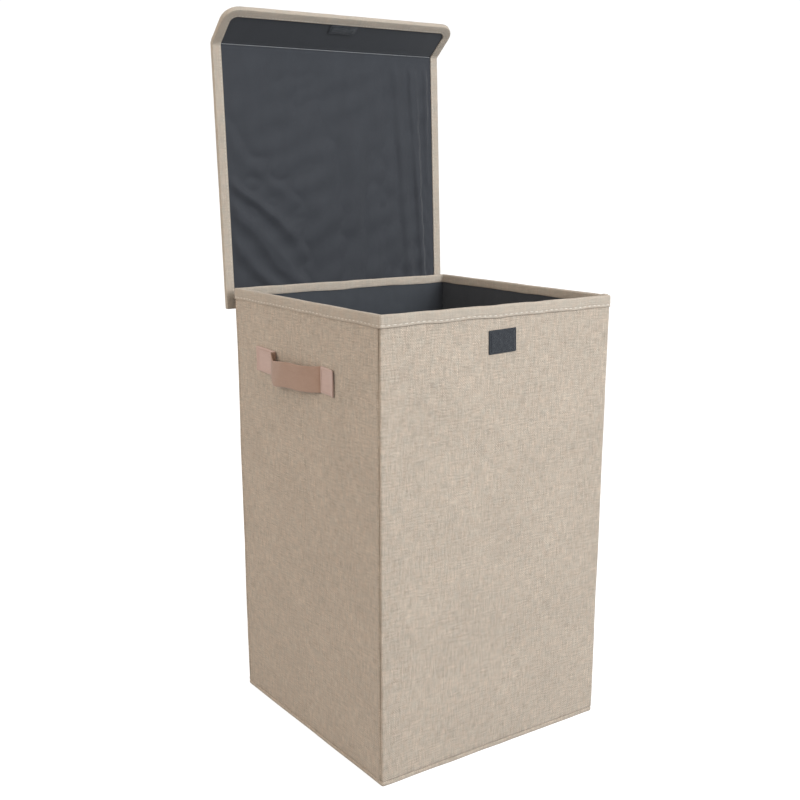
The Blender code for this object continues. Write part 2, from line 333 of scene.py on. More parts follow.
class Shade:
    """A node tree with short ways to add sums and textures."""

    def __init__(self, name, roughness, sheen=0.0, sheen_roughness=0.5):
        self.material = bpy.data.materials.new(name)
        self.material.use_nodes = True
        self.tree = self.material.node_tree
        self.shader = self.tree.nodes["Principled BSDF"]
        self.shader.inputs["Roughness"].default_value = roughness
        self.shader.inputs["Sheen Weight"].default_value = sheen
        self.shader.inputs["Sheen Roughness"].default_value = sheen_roughness
        self.shader.inputs["Specular IOR Level"].default_value = 0.25

    def node(self, kind, values=None, **settings):
        """A new node: values are linked to its inputs, by their name or number."""
        made = self.tree.nodes.new(kind)
        for key, value in settings.items():
            setattr(made, key, value)
        for key, value in (values or {}).items():
            self.link(value, made.inputs[key])
        return made

    def link(self, value, socket):
        if isinstance(value, (int, float)):
            socket.default_value = value
        elif isinstance(value, tuple):
            socket.default_value = (*value, 1.0)[: len(socket.default_value)]
        else:
            self.tree.links.new(value, socket)

    def math(self, operation, *values):
        values = dict(enumerate(values))
        return self.node("ShaderNodeMath", values, operation=operation).outputs[0]

    def times(self, first, second):
        return self.math("MULTIPLY", first, second)

    def times_plus(self, first, second, third):
        return self.math("MULTIPLY_ADD", first, second, third)

    def sine(self, value, pace):
        return self.math("SINE", self.times(value, pace))

    def join(self, x, y):
        return self.node("ShaderNodeCombineXYZ", {0: x, 1: y}).outputs[0]

    def across(self):
        """The u and v of the cloth in metres, and the point of both."""
        place = self.node("ShaderNodeUVMap", uv_map="UVMap").outputs[0]
        split = self.node("ShaderNodeSeparateXYZ", {0: place})
        u, v = split.outputs[0], split.outputs[1]
        return u, v, self.join(u, v)

    def noise(self, vector, scale, detail=2.0, roughness=0.5):
        values = {"Vector": vector, "Scale": scale, "Detail": detail, "Roughness": roughness}
        return self.node("ShaderNodeTexNoise", values).outputs[0]

    def blend(self, share, first, second):
        values = {0: share, 6: first, 7: second}
        return self.node("ShaderNodeMix", values, data_type="RGBA").outputs[2]

    def scaled(self, colour, factor):
        values = {0: colour, "Scale": factor}
        return self.node("ShaderNodeVectorMath", values, operation="SCALE").outputs[0]

    def tinted(self, colour, factors):
        values = {0: colour, 1: factors}
        return self.node("ShaderNodeVectorMath", values, operation="MULTIPLY").outputs[0]

    def span(self, value, low_value, high_value):
        """The 0 to 1 value, stretched to run from low_value to high_value."""
        return self.times_plus(value, high_value - low_value, low_value)

    def finish(self, colour, height, depth, strength=1.0, roughness=None):
        values = {"Distance": depth, "Strength": strength, "Height": height}
        bump = self.node("ShaderNodeBump", values)
        self.link(bump.outputs[0], self.shader.inputs["Normal"])
        self.link(colour, self.shader.inputs["Base Color"])
        if roughness is not None:
            self.link(roughness, self.shader.inputs["Roughness"])
        return self.material


def linen(name, warp, weft, pitch, slub):
    """Plain-woven slubby linen: threads of uneven thickness and colour, over and under.

    warp and weft are the two colours, pitch is from thread to thread and slub is how uneven
    their tone is.
    """
    shade = Shade(name, 0.86, 0.12, 0.6)
    u, v, place = shade.across()
    wobble = shade.math("SUBTRACT", shade.noise(place, 90, 2), 0.5)
    u_thread = shade.times_plus(wobble, 1.6, shade.math("DIVIDE", u, pitch))
    v_thread = shade.times_plus(wobble, -1.6, shade.math("DIVIDE", v, pitch))
    long_warp = shade.noise(shade.join(u_thread, shade.times(v, 70)), 0.8, 2, 0.65)
    long_weft = shade.noise(shade.join(shade.times(u, 70), v_thread), 0.8, 2, 0.65)
    wave_u = shade.sine(u_thread, math.pi)
    wave_v = shade.sine(v_thread, math.pi)
    over = shade.times(wave_u, wave_v)
    rise_u = shade.times(shade.math("ABSOLUTE", wave_u), shade.times_plus(over, 0.4, 0.6))
    rise_v = shade.times(shade.math("ABSOLUTE", wave_v), shade.times_plus(over, -0.4, 0.6))
    height = shade.math("MAXIMUM", rise_u, rise_v)
    top = shade.math("GREATER_THAN", over, 0.0)
    warp_tone = shade.scaled(warp, shade.span(long_warp, 1 - slub, 1 + slub))
    weft_tone = shade.scaled(weft, shade.span(long_weft, 1 - slub, 1 + slub))
    threads = shade.blend(top, weft_tone, warp_tone)
    # Painted shade and light: the weave is darker in the dips where threads pass under each other
    # and lighter on their crowns.
    dip_shade = shade.span(shade.math("POWER", height, 0.5), 0.50, 1.20)
    broad = shade.span(shade.noise(place, 14, 3), 0.90, 1.10)
    tint = shade.noise(shade.join(shade.times(u, 1.7), v), 75, 3, 0.7)
    warmer = shade.tinted(threads, (1.09, 0.99, 0.93))
    cooler = shade.tinted(threads, (0.92, 1.01, 1.05))
    tinted = shade.blend(tint, warmer, cooler)
    colour = shade.scaled(tinted, shade.times(dip_shade, broad))
    thick = shade.times_plus(shade.math("ADD", long_warp, long_weft), 0.6, height)
    return shade.finish(colour, thick, 0.0007, 0.8)


def lining_cloth(name, base):
    """Thin dark lining cloth with a fine diagonal grain and faint rubbed streaks."""
    shade = Shade(name, 0.62, 0.35, 0.45)
    u, v, place = shade.across()
    twill = shade.sine(shade.math("ADD", u, v), math.tau * 900)
    fine = shade.noise(place, 2080, 2, 0.7)
    streak = shade.noise(shade.join(shade.times(u, 3.0), v), 22, 3)
    tone = shade.times(shade.span(fine, 0.80, 1.20), shade.span(streak, 0.88, 1.12))
    height = shade.times_plus(twill, 0.25, fine)
    shine = shade.span(fine, 0.55, 0.72)
    return shade.finish(shade.scaled(base, tone), height, 0.00018, 0.55, shine)


def suede(name, base, pale):
    """Soft brushed strap cloth: fine nap, worn paler in patches."""
    shade = Shade(name, 0.9, 0.45, 0.5)
    u, v, place = shade.across()
    nap = shade.noise(place, 2600, 3, 0.75)
    brushed = shade.noise(shade.join(shade.times(u, 0.35), v), 260, 3, 0.6)
    patches = shade.noise(place, 45, 2)
    tone = shade.times(shade.span(nap, 0.82, 1.18), shade.span(brushed, 0.9, 1.1))
    colour = shade.scaled(shade.blend(shade.times(patches, 0.55), base, pale), tone)
    return shade.finish(colour, nap, 0.0003, 0.6)


def loop_pile(name, base):
    """Short tangled loops of a hook-and-loop patch."""
    shade = Shade(name, 0.8, 0.4, 0.4)
    _, _, place = shade.across()
    values = {"Vector": place, "Scale": 1500}
    cells = shade.node("ShaderNodeTexVoronoi", values, feature="F1")
    fuzz = shade.noise(place, 2400, 3, 0.8)
    broad = shade.noise(place, 130, 2)
    tone = shade.times(shade.span(fuzz, 0.45, 1.55), shade.span(broad, 0.8, 1.2))
    height = shade.times_plus(cells.outputs[0], -0.6, fuzz)
    return shade.finish(shade.scaled(base, tone), height, 0.0006, 0.9)


def thread(name, base):
    """Twisted sewing thread."""
    shade = Shade(name, 0.6, 0.2)
    place = shade.node("ShaderNodeTexCoord").outputs["Generated"]
    grain = shade.noise(place, 900, 2)
    return shade.finish(shade.scaled(base, shade.span(grain, 0.86, 1.14)), grain, 0.0001, 0.5)


def greyboard(name, base):
    """Pressed paper board with flecks."""
    shade = Shade(name, 0.9)
    place = shade.node("ShaderNodeTexCoord").outputs["Object"]
    fleck = shade.noise(place, 900, 3, 0.7)
    broad = shade.noise(place, 25, 2)
    tone = shade.times(shade.span(fleck, 0.75, 1.25), shade.span(broad, 0.93, 1.07))
    return shade.finish(shade.scaled(base, tone), fleck, 0.0002, 0.5)


def felt(name, base):
    """Bonded fibre sheet, stamped with a small even pattern."""
    shade = Shade(name, 0.85, 0.2)
    u, v, place = shade.across()
    fibre = shade.noise(place, 1500, 4, 0.75)
    pitch = 0.0016
    stamp_u = shade.sine(u, math.tau / pitch)
    stamp_v = shade.sine(v, math.tau / pitch)
    stamp = shade.times(stamp_u, stamp_v)
    height = shade.times_plus(stamp, 0.35, fibre)
    return shade.finish(shade.scaled(base, shade.span(fibre, 0.7, 1.3)), height, 0.0003, 0.7)


LINEN = linen("linen_cover", (0.520, 0.434, 0.350), (0.470, 0.383, 0.300), 0.0016, 0.75)
BINDING = linen("linen_tape", (0.540, 0.462, 0.378), (0.495, 0.412, 0.330), 0.0012, 0.40)
# The lid's lining is the wall lining's cloth, painted darker as painted shade: it hangs facing down
# and forward, away from the light.
SHADED_LID_LINING = lining_cloth("shaded_lid_lining", (0.031, 0.033, 0.039))
DARK = lining_cloth("dark_wall_lining", (0.043, 0.046, 0.052))
SUEDE = suede("strap_suede", (0.345, 0.213, 0.148), (0.440, 0.292, 0.222))
SUEDE_END = suede("strap_end_suede", (0.500, 0.345, 0.290), (0.590, 0.435, 0.375))
PILE = loop_pile("loop_pile", (0.030, 0.033, 0.039))
THREAD = thread("beige_thread", (0.74, 0.68, 0.59))
SUEDE_THREAD = thread("tan_thread", (0.50, 0.35, 0.28))
PALE_THREAD = thread("pale_thread", (0.36, 0.36, 0.36))
DARK_THREAD = thread("dark_thread", (0.05, 0.052, 0.06))
BOARD = greyboard("pressed_board", (0.33, 0.28, 0.22))
BASE_EDGE = greyboard("blackened_board", (0.045, 0.046, 0.052))
FELT = felt("bottom_felt", (0.05, 0.05, 0.055))


# --- Walls ---


def fold_line(y, z):
    """How far the cover dips along the soft upright fold halfway along a side."""
    wander = 0.0035 * np.sin(z * 9.0 + 0.6) + 0.0015 * np.sin(z * 31.0)
    return -0.00060 * near(y, wander, 0.0045) + 0.00035 * near(y, wander + 0.011, 0.006)


def seam_dip(x, y):
    """The groove where the side cloth meets the front and the back panel's wrapped edge."""
    away = np.abs(y)
    groove = -0.0022 * near(away, SEAM + 0.0011, 0.0009)
    lip = 0.0004 * near(away, SEAM - 0.0026, 0.0018)
    hem = -0.00045 * near(away, SEAM - 0.0068, 0.0009)
    return np.where(np.abs(x) > ON_SIDE, groove + lip + hem, 0)


def cover_relief(points):
    """How far the outer cloth stands off its panel: soft waves, puckers under the rim, seams."""
    x, y, z = points[..., 0], points[..., 1], points[..., 2]
    height = 0.00034 * ripples(points, 0.130, 11) + 0.00012 * ripples(points, 0.035, 12)
    puckers = np.sin((x + y) * 2 * math.pi / RIM_STITCH[0])
    pucker = near(z, RIM_LOW - 0.004, 0.009) * 0.00025 * puckers
    edges = smooth(z, FOOT, FOOT + 0.006)
    height = (height + pucker) * edges - 0.0008 * near(z, RIM_LOW - 0.0002, 0.0020)
    height += np.where(np.abs(x) > ON_SIDE, fold_line(y, z), 0)
    return np.maximum(height, -0.0009) + seam_dip(x, y)


def upright_rows(bottom, top, step, tuck):
    """(offset, z) rows of an upright cloth whose lower edge turns in under the panel."""
    turned_in = ((-1, 0), (-0.45, 0.12), (-0.1, 0.55))
    rows = [(tuck * out, bottom + tuck * up) for out, up in turned_in]
    count = int((top - bottom - tuck) / step)
    return rows + [(0.0, z) for z in np.linspace(bottom + tuck, top, count)]


def swept(route, section):
    """The grid made by moving a section of (offset, z) points along a route, and its UVs."""
    rows, aims = [], []
    for offset, z in section:
        points, aim = route.at(offset)
        rows.append(np.column_stack([points, np.full(len(points), z)]))
        aims.append(np.column_stack([aim, np.zeros(len(aim))]))
    return np.array(rows), np.array(aims), unrolled(route, section)


def unrolled(route, section):
    """The UVs of a section moved along a route: along it, and round the section."""
    return np.stack(np.meshgrid(route.along, run_of(np.array(section))), axis=-1)


def wall_route(corners, radius=0.0024, step=0.0045):
    corners = np.array(corners, float)
    side = 1 if np.cross(corners[1] - corners[0], -corners[0]) < 0 else -1
    return Route(corners, [radius] * (len(corners) - 2), side, step, ROUTE_REACH)


def spans():
    """Each length of wall cloth: its name, its way in plan, its bodies and where it bends."""
    made = []
    inner = OUT - CORNER_REACH
    for name, sign in (("left", -1), ("right", 1)):
        x = sign * OUT
        way, bodies = [(0, OUT), (x, OUT), (x, SPLIT)], ("back", f"{name}_rear")
        made.append((f"{name}_rear", way, bodies, (sign * inner, OUT), (x, inner)))
        way, bodies = [(x, SPLIT), (x, -SPLIT)], (f"{name}_rear", f"{name}_front")
        made.append((f"{name}_middle", way, bodies, (x, CREASE_REACH), (x, -CREASE_REACH)))
    way = [(-OUT, -SPLIT), (-OUT, -OUT), (OUT, -OUT), (OUT, -SEAM - 0.0006)]
    made.append(("front", way, ("left_front", "front"), (-OUT, -inner), (-inner, -OUT)))
    way = [(OUT, -SPLIT), (OUT, -SEAM + 0.0003)]
    made.append(("right_front", way, ("right_front",), None, None))
    return made


def carry(piece, bodies):
    """The piece rides on its one body; with two, it is baked where it lies."""
    if len(bodies) == 1:
        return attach(piece, bodies[0])
    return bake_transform(piece)


# Where each length of cloth starts on the weave, so that no two of them look the same.
WEAVE_START = {
    "left_rear": 0.0,
    "left_middle": 0.2706,
    "front": 0.4506,
    "right_rear": 1.31,
    "right_middle": 1.5806,
    "right_front": 1.7606,
}


def add_cover(name, corners, bodies, start, end):
    route = wall_route(corners)
    rows = upright_rows(FOOT + 0.0002, RIM_LOW + 0.006, 0.0045, 0.0016)
    grid, aims, uv = swept(route, rows)
    uv = uv + np.array([WEAVE_START[name], FOOT])
    grid = grid + aims * cover_relief(grid)[..., None]
    piece = cloth(f"{name}_cover_cloth", grid, aims[0, 0], CLOTH, LINEN, uv)
    carry(piece, bodies)
    return piece


def lining_slack(points):
    """How far the wall lining stands off the boards.

    It lies close at the creases, and on the back panel where the tilted base board presses it.
    """
    x, y, z = points[..., 0], points[..., 1], points[..., 2]
    soft = 0.0006 * ripples(points * np.array([1, 1, 0.45]), 0.060, 21)
    soft += 0.0003 * ripples(points, 0.022, 22)
    fade = smooth(z, FOOT, FOOT + 0.03) * (1 - smooth(z, RIM - 0.035, RIM - 0.012))
    pressed = smooth(y, OUT - 0.012, OUT - 0.006) * (1 - smooth(z, BASE_REACH, BASE_REACH + 0.03))
    on_side = smooth(np.abs(x), OUT - 0.008, OUT - 0.006)
    crease = on_side * near(y, 0, 0.020)
    slack = np.minimum(np.abs(soft), 0.0008) * fade * (1 - pressed) * (1 - crease)
    return slack - 0.0002 * on_side * near(y, 0, 0.007)


def add_lining(name, corners, bodies, start, end):
    route = wall_route(corners)
    rows = [(-PANEL, z) for z in np.linspace(FOOT, RIM - 0.0085, 100)]
    grid, aims, uv = swept(route, rows)
    grid = grid - aims * lining_slack(grid)[..., None]
    piece = cloth(f"{name}_wall_lining", grid, -aims[0, 0], LINING, DARK, uv)
    carry(piece, bodies)
    return piece


def rim_section():
    """(offset, z) points up the outside of the rim tape, over the top and down the inside."""
    out, inside = PROUD, -PANEL - PROUD
    top = RIM - 0.0001
    radius = 0.0022
    stitched_edge = (
        (0.95, 0.0), (1.25, 0.0007), (1.05, 0.0017), (0.62, 0.0028), (1.02, 0.0041),
    )
    section = [(0.0002, RIM_LOW + 0.0003)]
    section += [(out * share, RIM_LOW + up) for share, up in stitched_edge]
    section += [(out, z) for z in np.linspace(RIM_LOW + 0.0058, top - 0.0026, 4)]
    turns = np.radians([20, 45, 70, 90])
    rounded = [(radius * (1 - math.cos(a)), top - radius * (1 - math.sin(a))) for a in turns]
    section += [(out - back, z) for back, z in rounded]
    section += [(-PANEL / 2, top + 0.0001)]
    section += [(inside + back, z) for back, z in rounded[::-1]]
    section += [(inside, z) for z in np.linspace(top - 0.0026, top - 0.0108, 4)]
    section += [(inside + 0.0004, top - 0.0116), (-PANEL - 0.0001, top - 0.0118)]
    return section


def add_rim(name, corners, bodies, start, end):
    route = wall_route(corners, 0.0022, 0.0035)
    section = rim_section()
    grid, aims, uv = swept(route, section)
    uv = uv[..., ::-1] + np.array([0.3, WEAVE_START[name] * 1.7])
    flat = grid * np.array([1, 1, 0])
    lower = 1 - smooth(grid[..., 2], RIM_LOW, RIM - 0.002)
    dips = 0.00040 * np.minimum(ripples(flat, 0.045, 32), 0.0)
    grid[..., 2] += 0.00055 * ripples(flat, 0.055, 31) * lower + dips
    swell = 0.00012 * ripples(grid, 0.020, 33)
    outside = np.arange(len(section)) < len(section) // 2
    grid += aims * np.where(outside[:, None], swell, -swell)[..., None]
    piece = cloth(f"{name}_rim_tape", grid, (0, 0, -1), TAPE, BINDING, uv)
    carry(piece, bodies)
    line = grid[4] + aims[4] * 0.00015
    row = stitches(f"{name}_rim_stitches", line, aims[4], THREAD, RIM_STITCH)
    carry(row, bodies)
    return piece


def dress_walls():
    """Dresses each length; the left side's lengths also take the back's and left front's nodes."""
    for span in spans():
        cover, lining, rim = add_cover(*span), add_lining(*span), add_rim(*span)
        name, last = span[0], span[2][-1]
        if name.endswith("middle"):
            continue
        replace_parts(cover, f"{last}_cover")
        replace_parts(lining, f"{last}_lining")
        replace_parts(rim, f"{last}_rim_binding")
    kinds = {"cover": "cover_cloth", "lining": "wall_lining", "rim_binding": "rim_tape"}
    for kind, made in kinds.items():
        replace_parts(bpy.data.objects[f"left_rear_{made}"], f"back_{kind}")
        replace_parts(bpy.data.objects[f"left_middle_{made}"], f"left_front_{kind}")


# --- Lid and flap ---

LEAN_UP = np.array([0, math.sin(LID_LEAN), math.cos(LID_LEAN)])
LEAN_OUT = np.array([0, math.cos(LID_LEAN), -math.sin(LID_LEAN)])


def on_lid(across, along, rise):
    """World points of the lid: across it, along it from its hinge edge, and above its underside.

    Past the fold, the points turn with the flap about the fold's line on the underside.
    """
    across, along, rise = np.broadcast_arrays(across, along, rise)
    share = smooth(along, LID_LENGTH - BEND_REACH, LID_LENGTH + BEND_REACH)
    turn = share * FLAP_BEND
    ahead = along - LID_LENGTH
    up = LID_LENGTH + ahead * np.cos(turn) + rise * np.sin(turn)
    out = rise * np.cos(turn) - ahead * np.sin(turn)
    origin = np.array([0, LID_EDGE[0], LID_EDGE[1]])
    flat = origin + up[..., None] * LEAN_UP + out[..., None] * LEAN_OUT
    flat[..., 0] = across
    return flat


def lid_out(across, along, rise):
    """The lid's outward direction, of length 1, at points of it."""
    return (on_lid(across, along, rise + 0.01) - on_lid(across, along, rise)) * 100


def bend_with_flap(piece):
    """The piece is baked where it lies, on neither the lid's body nor the flap's."""
    start = on_lid(0.0, LID_LENGTH - BEND_REACH, 0.0)
    end = on_lid(0.0, LID_LENGTH + BEND_REACH, 0.0)
    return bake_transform(piece)


def lid_half_width(along, margin):
    """Half the lid's width along it, less the margin, with the flap's round corners."""
    radius = FLAP_CORNER - margin
    start = FLAP_END - FLAP_CORNER
    past = np.clip(along - start, 0, radius)
    return LID_HALF - margin - radius + np.sqrt(np.maximum(radius**2 - past**2, 0))


def lid_grid(margin, columns, step):
    """(across, along) of a grid over the lid and its flap, that margin inside their edge."""
    end = FLAP_END - margin
    before, after = LID_LENGTH - FOLD_SPAN, LID_LENGTH + FOLD_SPAN
    base = np.linspace(margin, before, int((before - margin) / step))
    fold = np.linspace(before, after, 19)[1:]
    rest = np.linspace(after, end - TIP_SPAN, 9)[1:]
    tip = end - TIP_SPAN + TIP_SPAN * np.sin(np.linspace(0, math.pi / 2, 14))[1:]
    along = np.concatenate([base, fold, rest, tip])
    share = np.linspace(-1, 1, columns)
    across = share[None, :] * np.maximum(lid_half_width(along, margin), 0.02)[:, None]
    return across, np.broadcast_to(along[:, None], across.shape)


# The lining's slanting folds at the left (place, width, height), and its upright folds, which
# lean (place, width, height, lean).
SLANTING_FOLDS = (
    (0.0, 0.0085, 0.0026),
    (-0.034, 0.0100, 0.0030),
    (-0.066, 0.0080, 0.0022),
    (0.045, 0.013, 0.0014),
)
UPRIGHT_FOLDS = (
    (0.145, 0.0060, 0.0030, 0.05),
    (0.166, 0.0045, 0.0020, 0.02),
    (0.118, 0.0090, 0.0018, 0.06),
    (0.078, 0.0120, 0.0014, 0.05),
    (0.030, 0.0150, 0.0010, 0.03),
)


def lid_folds(across, along):
    """How far the loose lining stands off the board: soft upright folds and slanting ones."""
    flat = level(across, along)
    soft = 0.0012 * ripples(flat * np.array([1, 0.22, 1]), 0.075, 41)
    soft += 0.0004 * ripples(flat, 0.035, 42)
    slant = (across + 0.188) * 0.66 + (along - 0.19) * 0.75
    bend = slant + 0.006 * np.sin(along * 40)
    left = 1 - smooth(across, -0.12, -0.01)
    for centre, width, size in SLANTING_FOLDS:
        soft += size * near(bend, centre, width) * left
    for centre, width, size, lean in UPRIGHT_FOLDS:
        soft += size * near(across + lean * (along - 0.20), centre, width)
    edge = smooth(LID_HALF - np.abs(across), 0.011, 0.026) * smooth(along, 0.010, 0.03)
    ends = smooth(LID_LENGTH - along, 0.004, 0.030)
    return np.minimum(1.75 * np.abs(soft), 0.0048) * edge * ends


def add_lid_lining():
    across, along = lid_grid(0.004, 150, 0.0032)
    rise = PROUD - lid_folds(across, along) + 0.0002 * near(along, LID_LENGTH, 0.0016)
    grid = on_lid(across, along, rise)
    uv = np.stack([across, along], axis=-1) + 0.5
    piece = cloth("lid_inner_lining", grid, -LEAN_OUT, LINING, SHADED_LID_LINING, uv)
    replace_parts(bend_with_flap(piece), "lid_lining", "flap_lining")
    reach = LID_HALF - 0.0135
    line = on_lid(np.linspace(-1, 1, 80) * reach, LID_LENGTH, PROUD - 0.0002)
    out = LEAN_OUT * math.cos(FLAP_BEND / 2) + LEAN_UP * math.sin(FLAP_BEND / 2)
    aim = np.broadcast_to(-out, line.shape)
    row = bend_with_flap(stitches("lid_fold_stitches", line, aim, PALE_THREAD, FOLD_STITCH))


def add_lid_cover():
    across, along = lid_grid(0.004, 84, 0.005)
    flat = level(across, along)
    rise = LID_THICK - PROUD + 0.0002 * ripples(flat, 0.12, 51) + 0.0001 * ripples(flat, 0.035, 52)
    grid = on_lid(across, along, rise - 0.0006 * near(along, LID_LENGTH, 0.0030))
    uv = np.stack([across, along], axis=-1) + 2.5
    piece = cloth("lid_outer_cover", grid, LEAN_OUT, CLOTH, LINEN, uv)
    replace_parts(bend_with_flap(piece), "lid_cover", "flap_cover")


def tape_section():
    """(offset, rise) points of the lid's edge tape, from its underside round the edge."""
    radius = 0.0013
    stitched_edge = (
        (-0.0002, 0.0011), (0.0, 0.0002), (0.0008, -0.0001), (0.0018, 0.0003), (0.0028, 0.0),
    )
    half = [(-LID_TAPE + offset, rise) for offset, rise in stitched_edge]
    half += [(-0.0085, 0.0), (-0.0055, 0.0)]
    for turn in np.radians([0, 25, 50, 75]):
        half.append((-radius * (1 - math.sin(turn)), radius * (1 - math.cos(turn))))
    other = [(offset, LID_THICK - rise) for offset, rise in half[::-1]]
    return [*half, (0.0, LID_THICK / 2), *other]


def add_lid_tape():
    half, end = LID_HALF, FLAP_END
    corners = [(0, 0), (-half, 0), (-half, end), (half, end), (half, 0), (0, 0)]
    route = Route(corners, [0.0016, FLAP_CORNER, FLAP_CORNER, 0.0016], 1, 0.0035, 0.0145)
    section = tape_section()
    rows = []
    for offset, rise in section:
        across, along = route.at(offset)[0].T
        size = 0.00005 if rise < LID_THICK / 2 else -0.00012
        rows.append(on_lid(across, along, rise + size * ripples(level(across, along), 0.022, 61)))
    uv = unrolled(route, section)[..., ::-1] + 1.7
    piece = cloth("lid_edge_tape", np.array(rows), -LEAN_OUT, TAPE, BINDING, uv)
    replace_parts(bend_with_flap(piece), "lid_binding", "flap_binding")
    for name, row, aim in (("under", 3, -1), ("over", len(section) - 5, 1)):
        offset, rise = section[row]
        across, along = route.at(offset)[0].T
        line, up = on_lid(across, along, rise), aim * lid_out(across, along, rise)
        line = line + up * 0.00005
        seam = stitches(f"lid_tape_stitches_{name}", line, up, THREAD, TAPE_STITCH)
        bend_with_flap(seam)


def pad(name, width, height, thick, corner):
    """(x, y, rise) of a rounded rectangular patch of rough pile, with a flat border round it."""
    share = np.linspace(-1, 1, 57)
    v = np.linspace(-1, 1, 41) * height / 2
    past = np.clip(np.abs(v) - (height / 2 - corner), 0, corner)
    half = width / 2 - corner + np.sqrt(np.maximum(corner**2 - past**2, 0))
    x = share[None, :] * half[:, None]
    y = np.broadcast_to(v[:, None], x.shape)
    inset = np.minimum(half[:, None] - np.abs(x), height / 2 - np.abs(y))
    flat = level(x, y)
    border_width = 0.0026
    pile = smooth(inset, border_width, 0.0040)
    rough = ripples(flat, 0.0016, sum(map(ord, name))) * 0.00007 + ripples(flat, 0.006, 5) * 0.00010
    rise = thick * (0.45 + 0.55 * smooth(inset, 0, 0.0008))
    groove = 0.00035 * near(inset, border_width, 0.0007)
    return x, y, rise - groove + pile * (0.0003 + rough)


def border(width, height, corner, inset):
    """Points round a rounded rectangle, inset from its edge."""
    radius = max(corner - inset, 0.0004)
    x, y = width / 2 - inset - radius, height / 2 - inset - radius
    points = []
    for middle_x, middle_y, start in ((x, y, 0), (-x, y, 90), (-x, -y, 180), (x, -y, 270)):
        for turn in np.radians(np.linspace(start, start + 90, 6)):
            corner_x, corner_y = radius * math.cos(turn), radius * math.sin(turn)
            points.append((middle_x + corner_x, middle_y + corner_y))
    points.append(points[0])
    dense = []
    for (ax, ay), (bx, by) in zip(points, points[1:]):
        for share in np.linspace(0, 1, 8, endpoint=False):
            dense.append((ax + (bx - ax) * share, ay + (by - ay) * share))
    return np.array(dense + [points[0]])


def askew(x, y):
    """Points of the front patch as it is sewn on: turned a little, and a little off the middle."""
    turned_x = x * math.cos(PATCH_TURN) - y * math.sin(PATCH_TURN)
    turned_y = x * math.sin(PATCH_TURN) + y * math.cos(PATCH_TURN)
    return turned_x - 0.0010, turned_y + 0.0008


def add_loop_patch():
    node_low, node_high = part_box("front_loop_patch")
    width, height = node_high.x - node_low.x, node_high.z - node_low.z
    x, y, rise = pad("front", width, height, 0.0011, PATCH_CORNER)
    uv = np.stack([x, y], axis=-1)
    x, y = askew(x, y)
    face = -OUT - 0.0001
    middle = (node_low.z + node_high.z) / 2
    grid = np.stack([x, face - rise, middle + y], axis=-1)
    piece = cloth("front_loop_pad", grid, (0, -1, 0), 0.0008, PILE, uv)
    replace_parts(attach(piece, "front"), "front_loop_patch")
    x, y = askew(*border(width, height, PATCH_CORNER, 0.0017).T)
    line = np.stack([x, np.full(len(x), face - 0.0011), middle + y], axis=-1)
    aim = np.broadcast_to([0.0, -1, 0], line.shape)
    row = stitches("front_pad_stitches", line, aim, DARK_THREAD, PATCH_STITCH)
    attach(row, "front")


def add_hook_patch():
    width, height = HOOK_PATCH
    x, y, rise = pad("flap", width, height, 0.0009, HOOK_CORNER)
    centre = FLAP_END - LID_TAPE - 0.0003 - height / 2
    grid = on_lid(x, centre - y, PROUD - 0.0003 - rise)
    uv = np.stack([x, y], axis=-1) + 0.2
    piece = cloth("flap_hook_pad", grid, -LEAN_OUT, 0.0006, PILE, uv)
    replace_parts(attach(piece, "flap"), "flap_hook_patch")
    x, y = border(width, height, HOOK_CORNER, 0.0015).T
    spots = (x, centre - y, PROUD - 0.0012)
    row = stitches("flap_pad_stitches", on_lid(*spots), -lid_out(*spots), DARK_THREAD, HOOK_STITCH)
    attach(row, "flap")


def add_hinge_tape():
    """The cloth tape that joins the back panel to the lid's rear edge behind the rim."""
    half = high("lid_hinge_tape").x
    inside, outside = OUT + 0.0004, LID_EDGE[0] + PANEL
    top, turn, edge = RIM_LOW - 0.0003, RIM - 0.0373, LID_EDGE[1] - 0.0012
    way = [(inside, z) for z in np.linspace(top, turn + 0.006, 6)]
    width, sag = outside - inside, 0.004
    for angle in np.radians(np.linspace(0, 180, 15)):
        y = inside + width / 2 * (1 - math.cos(angle))
        way.append((y, turn + sag - sag * math.sin(angle)))
    way = np.array([*way, (outside, edge - 0.0005)])
    x = np.linspace(-half, half, 90)
    grid = np.stack(np.broadcast_arrays(x, way[:, :1], way[:, 1:]), axis=-1)
    runs = run_of(way)
    grid[..., 2] += 0.0003 * ripples(grid, 0.03, 71)
    uv = np.stack(np.meshgrid(x, runs), axis=-1) + 4.0
    piece = cloth("lid_hinge_cloth", grid, (0, -1, 0), 0.0007, LINEN, uv)
    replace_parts(piece, "lid_hinge_tape")
    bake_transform(piece)


# --- Handles ---


def strap_path():
    """(place in Y, lift off the wall, drop) down the strap, from its rear end to its front end.

    It turns out sharply in front of the rear end and sags there, and runs back to the front end.
    """
    share = np.linspace(0, 1, 81)
    lift = STRAP_BOW * np.sin(math.pi * share**0.5) ** 0.5
    back = 0.0030 * near(lift, 0.45 * STRAP_BOW, 0.25 * STRAP_BOW) * (share < 0.3)
    drop = STRAP_SAG * smooth(share, 0, 0.10) * (1 - share) ** 0.9
    return STRAP_START + (STRAP_FINISH - STRAP_START) * share + back, lift, drop


def strap_slope(along):
    """How much higher the strap is at each place in Y than where it would be if it were level."""
    return STRAP_SLOPE * (along - (STRAP_REAR + STRAP_FRONT) / 2)


